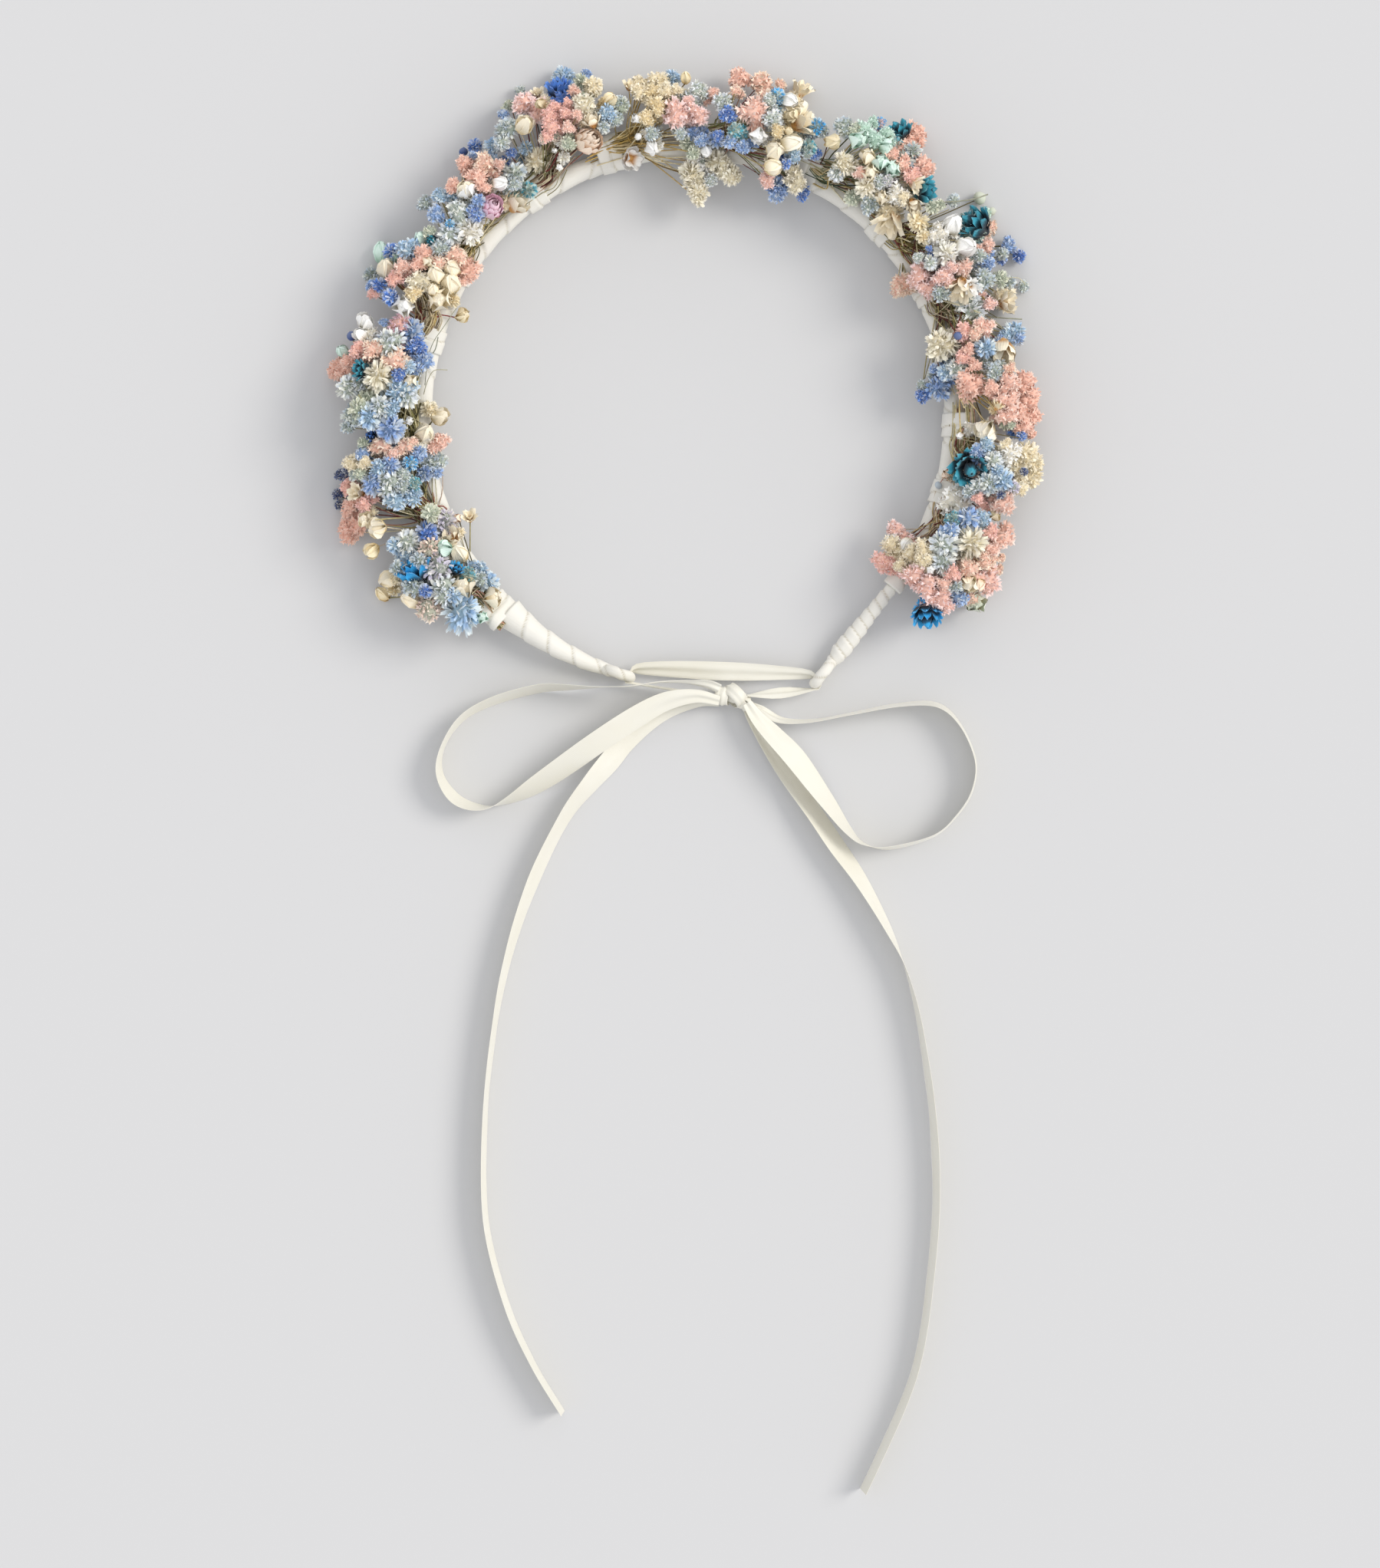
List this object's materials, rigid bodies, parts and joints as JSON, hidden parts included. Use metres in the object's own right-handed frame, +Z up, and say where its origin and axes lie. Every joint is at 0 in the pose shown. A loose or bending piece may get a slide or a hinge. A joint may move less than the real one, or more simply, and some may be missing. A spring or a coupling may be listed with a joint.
{
  "type": "flower crown",
  "caption": "Open hair garland of dried flower bunches bound to a taped wire ring, closed at the back by a satin ribbon tied in a bow through wire eyes.",
  "frame": {"origin": "the middle of the head opening, on the surface that the crown lies on", "axes": "+Z up out of the head opening, +X to the wearer's side across the crown's widest span, -Y towards the bow and ribbon tails at the back"},
  "size_m": [0.2473, 0.4957, 0.0311],
  "materials": {
    "wire_steel": "plain drawn wire",
    "floral_tape": "off-white crepe tape, wound on the slant",
    "satin_ribbon": "ivory double-face satin",
    "dried_stems": "dry straw, olive and dark red stems",
    "petals_blue": "dyed dried petals, mostly blue",
    "petals_pale": "dyed dried petals, mostly pale blue",
    "petals_cream": "dried petals, mostly cream",
    "petals_coral": "dyed dried petals, mostly coral pink"
  },
  "bodies": {
    "crown": {"frame_wire": "wire_steel", "band_wrap": "floral_tape", "left_end_wrap": "floral_tape", "right_end_wrap": "floral_tape", "bunch_01_blooms": "petals_blue", "bunch_01_stems": "dried_stems", "bunch_01_binding": "floral_tape", "bunch_02_blooms": "petals_blue", "bunch_02_stems": "dried_stems", "bunch_02_binding": "floral_tape", "bunch_03_blooms": "petals_pale", "bunch_03_stems": "dried_stems", "bunch_03_binding": "floral_tape", "bunch_04_blooms": "petals_cream", "bunch_04_stems": "dried_stems", "bunch_04_binding": "floral_tape", "bunch_05_blooms": "petals_coral", "bunch_05_stems": "dried_stems", "bunch_05_binding": "floral_tape", "bunch_06_blooms": "petals_coral", "bunch_06_stems": "dried_stems", "bunch_06_binding": "floral_tape", "bunch_07_blooms": "petals_cream", "bunch_07_stems": "dried_stems", "bunch_07_binding": "floral_tape", "bunch_08_blooms": "petals_blue", "bunch_08_stems": "dried_stems", "bunch_08_binding": "floral_tape", "bunch_09_blooms": "petals_pale", "bunch_09_stems": "dried_stems", "bunch_09_binding": "floral_tape", "bunch_10_blooms": "petals_coral", "bunch_10_stems": "dried_stems", "bunch_10_binding": "floral_tape", "bunch_11_blooms": "petals_blue", "bunch_11_stems": "dried_stems", "bunch_11_binding": "floral_tape", "bunch_12_blooms": "petals_coral", "bunch_12_stems": "dried_stems", "bunch_12_binding": "floral_tape", "bunch_13_blooms": "petals_pale", "bunch_13_stems": "dried_stems", "bunch_13_binding": "floral_tape", "bunch_14_blooms": "petals_blue", "bunch_14_stems": "dried_stems", "bunch_14_binding": "floral_tape", "tie_strand": "satin_ribbon"},
    "bow": {"bow_knot": "satin_ribbon", "left_loop": "satin_ribbon", "right_loop": "satin_ribbon", "left_tail": "satin_ribbon", "right_tail": "satin_ribbon"}
  },
  "joints": [
    {"name": "bow_swing", "type": "hinge", "parent": "crown", "child": "bow", "pos_m": [0.01577, -0.09773, 0.0048], "axis": [1, 0, 0], "range_deg": [0, 90]}
  ]
}
